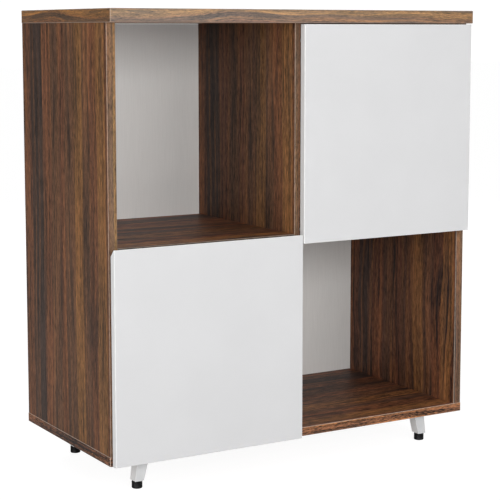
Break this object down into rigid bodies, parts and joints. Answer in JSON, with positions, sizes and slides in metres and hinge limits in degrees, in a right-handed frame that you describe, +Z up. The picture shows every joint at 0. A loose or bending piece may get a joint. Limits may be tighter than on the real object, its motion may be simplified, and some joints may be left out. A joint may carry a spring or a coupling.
{
  "type": "cube storage unit",
  "caption": "Walnut-faced storage unit of open and closed cubes, with white bevel-edged doors set crosswise on cup hinges, a thick top, splayed white legs and levelling feet.",
  "frame": {"origin": "on the floor, in the middle of the unit's width and depth", "axes": "+X to the right along the front, -Y out of the front, +Z up"},
  "size_m": [0.8, 0.4, 0.88],
  "materials": {
    "walnut_board": "matt walnut-grain laminate",
    "walnut_band": "satin walnut-print edge band",
    "walnut_cover": "matt",
    "white_backboard": "white-faced hardboard, matt",
    "white_lacquer": "satin lacquer",
    "white_metal": "satin powder coat",
    "black_plastic": "matt",
    "clear_pad": "soft clear",
    "nickel_steel": "nickel plated",
    "zinc_steel": "zinc plated",
    "beech": "bare beech"
  },
  "bodies": {
    "carcass": {"top_panel": "walnut_board", "bottom_panel": "walnut_board", "side_panel_left": "walnut_board", "side_panel_right": "walnut_board", "centre_divider": "walnut_board", "shelf_left": "walnut_board", "shelf_right": "walnut_board", "top_edge_bands": "walnut_band", "bottom_edge_bands": "walnut_band", "front_edge_bands": "walnut_band", "back_panel_left": "white_backboard", "back_panel_right": "white_backboard", "hinge_plate_screws": "zinc_steel", "hinge_clamp_screws": "zinc_steel", "cam_locks": "zinc_steel", "cam_bolts": "zinc_steel", "shelf_through_bolts": "zinc_steel", "cam_covers": "walnut_cover", "dowels": "beech", "bottom_screws": "zinc_steel", "back_screws": "zinc_steel", "leg_screws": "zinc_steel", "lower_door_low_hinge_arm": "nickel_steel", "lower_door_low_hinge_plate": "nickel_steel", "lower_door_high_hinge_arm": "nickel_steel", "lower_door_high_hinge_plate": "nickel_steel", "upper_door_low_hinge_arm": "nickel_steel", "upper_door_low_hinge_plate": "nickel_steel", "upper_door_high_hinge_arm": "nickel_steel", "upper_door_high_hinge_plate": "nickel_steel", "leg_front_left": "white_metal", "leg_plate_front_left": "white_metal", "leg_insert_front_left": "black_plastic", "leg_front_right": "white_metal", "leg_plate_front_right": "white_metal", "leg_insert_front_right": "black_plastic", "leg_rear_left": "white_metal", "leg_plate_rear_left": "white_metal", "leg_insert_rear_left": "black_plastic", "leg_rear_right": "white_metal", "leg_plate_rear_right": "white_metal", "leg_insert_rear_right": "black_plastic"},
    "lower_door": {"door_lower_left": "white_lacquer", "door_bumpers_lower": "clear_pad", "cup_screws_lower": "zinc_steel", "lower_door_low_hinge_cup": "nickel_steel", "lower_door_low_hinge_pin": "nickel_steel", "lower_door_high_hinge_cup": "nickel_steel", "lower_door_high_hinge_pin": "nickel_steel"},
    "upper_door": {"door_upper_right": "white_lacquer", "door_bumpers_upper": "clear_pad", "cup_screws_upper": "zinc_steel", "upper_door_low_hinge_cup": "nickel_steel", "upper_door_low_hinge_pin": "nickel_steel", "upper_door_high_hinge_cup": "nickel_steel", "upper_door_high_hinge_pin": "nickel_steel"},
    "adjuster_front_left": {"foot_front_left": "black_plastic"},
    "adjuster_front_right": {"foot_front_right": "black_plastic"},
    "adjuster_rear_left": {"foot_rear_left": "black_plastic"},
    "adjuster_rear_right": {"foot_rear_right": "black_plastic"}
  },
  "joints": [
    {"name": "lower_door_swing", "type": "hinge", "parent": "carcass", "child": "lower_door", "pos_m": [-0.3901, -0.192, 0.25925], "axis": [0, 0, -1], "range_deg": [0, 95]},
    {"name": "upper_door_swing", "type": "hinge", "parent": "carcass", "child": "upper_door", "pos_m": [0.3901, -0.192, 0.6465], "axis": [0, 0, 1], "range_deg": [0, 95]},
    {"name": "foot_front_left_travel", "type": "slide", "parent": "carcass", "child": "adjuster_front_left", "axis": [0, 0, -1], "range_m": [0, 0.01]},
    {"name": "foot_front_right_travel", "type": "slide", "parent": "carcass", "child": "adjuster_front_right", "axis": [0, 0, -1], "range_m": [0, 0.01]},
    {"name": "foot_rear_left_travel", "type": "slide", "parent": "carcass", "child": "adjuster_rear_left", "axis": [0, 0, -1], "range_m": [0, 0.01]},
    {"name": "foot_rear_right_travel", "type": "slide", "parent": "carcass", "child": "adjuster_rear_right", "axis": [0, 0, -1], "range_m": [0, 0.01]}
  ]
}
